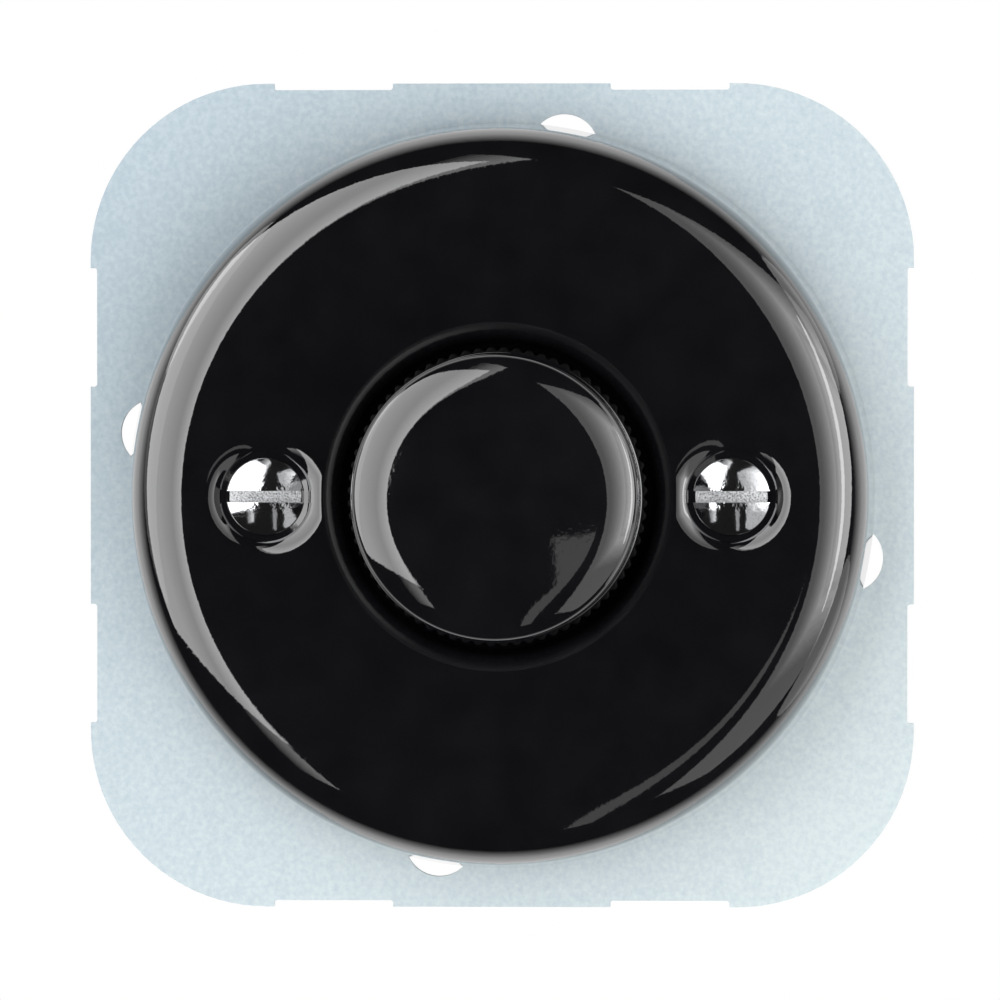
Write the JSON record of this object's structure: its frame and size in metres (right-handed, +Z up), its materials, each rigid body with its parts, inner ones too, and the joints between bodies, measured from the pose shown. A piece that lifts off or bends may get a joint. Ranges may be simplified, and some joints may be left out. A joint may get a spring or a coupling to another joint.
{
  "type": "rotary push dimmer switch",
  "caption": "Flush-mounted dimmer with a round glazed porcelain cover and fluted knob on a square zinc-plated support plate; the knob turns to dim and pushes to switch.",
  "frame": {"origin": "centre of the support plate on its back face, in the plane of the wall", "axes": "+Z up the wall, +X to the right as seen from the room, -Y out of the wall towards the room"},
  "size_m": [0.07, 0.0455, 0.07],
  "materials": {
    "zinc_steel": "bright zinc plating, satin, finely speckled",
    "black_porcelain": "high gloss black glaze",
    "chrome": "polished, with granular slot floors",
    "brass": "plain machined",
    "steel": "zinc plated, satin",
    "cast_metal": "die cast, satin",
    "grey_plastic": "moulded, fine spark texture",
    "white_plastic": "moulded",
    "black_plastic": "moulded",
    "track_board": "laminated paper board",
    "circuit_board": "glass fibre laminate",
    "ferrite": "sintered",
    "enamelled_wire": "enamelled copper",
    "capacitor_film": "moulded box",
    "fuse_glass": "clear tube with plated caps"
  },
  "bodies": {
    "root": {"support_plate": "zinc_steel", "porcelain_cover": "black_porcelain", "cover_screws": "chrome", "screw_posts": "brass", "fixed_contacts": "brass", "terminal_cages": "brass", "return_spring": "steel", "lock_washer": "steel", "bushing_nut": "steel", "module_screws": "steel", "terminal_screws": "steel", "fuse_clips": "steel", "pot_bushing": "cast_metal", "pot_case": "cast_metal", "module_lid": "grey_plastic", "module_base": "grey_plastic", "switch_case": "black_plastic", "power_transistors": "black_plastic", "bulk_capacitor": "black_plastic", "resistor_track": "track_board", "circuit_board": "circuit_board", "choke_core": "ferrite", "choke_winding": "enamelled_wire", "film_capacitor": "capacitor_film", "fuse_link": "fuse_glass"},
    "plunger": {"switch_plunger": "white_plastic", "contact_bridge": "brass"},
    "spindle": {"control_shaft": "steel", "shaft_ring": "steel", "knob_sleeve": "brass", "porcelain_knob": "black_porcelain"},
    "rotor": {"wiper_rotor": "white_plastic", "wiper_brush": "brass"}
  },
  "joints": [
    {"name": "push", "type": "slide", "parent": "root", "child": "plunger", "axis": [0, 1, 0], "range_m": [0, 0.0015], "stiffness_N_per_m": 2000, "springref_m": -0.001, "deforming": ["return_spring"]},
    {"name": "turn", "type": "hinge", "parent": "plunger", "child": "spindle", "pos_m": [0, 0, 0], "axis": [0, 1, 0], "range_deg": [-150, 150]},
    {"name": "rotor_turn", "type": "hinge", "parent": "root", "child": "rotor", "pos_m": [0, 0, 0], "axis": [0, 1, 0], "range_deg": [-150, 150]}
  ],
  "couplings": [
    {"joint": "rotor_turn", "follows": "turn", "ratio": 1}
  ]
}
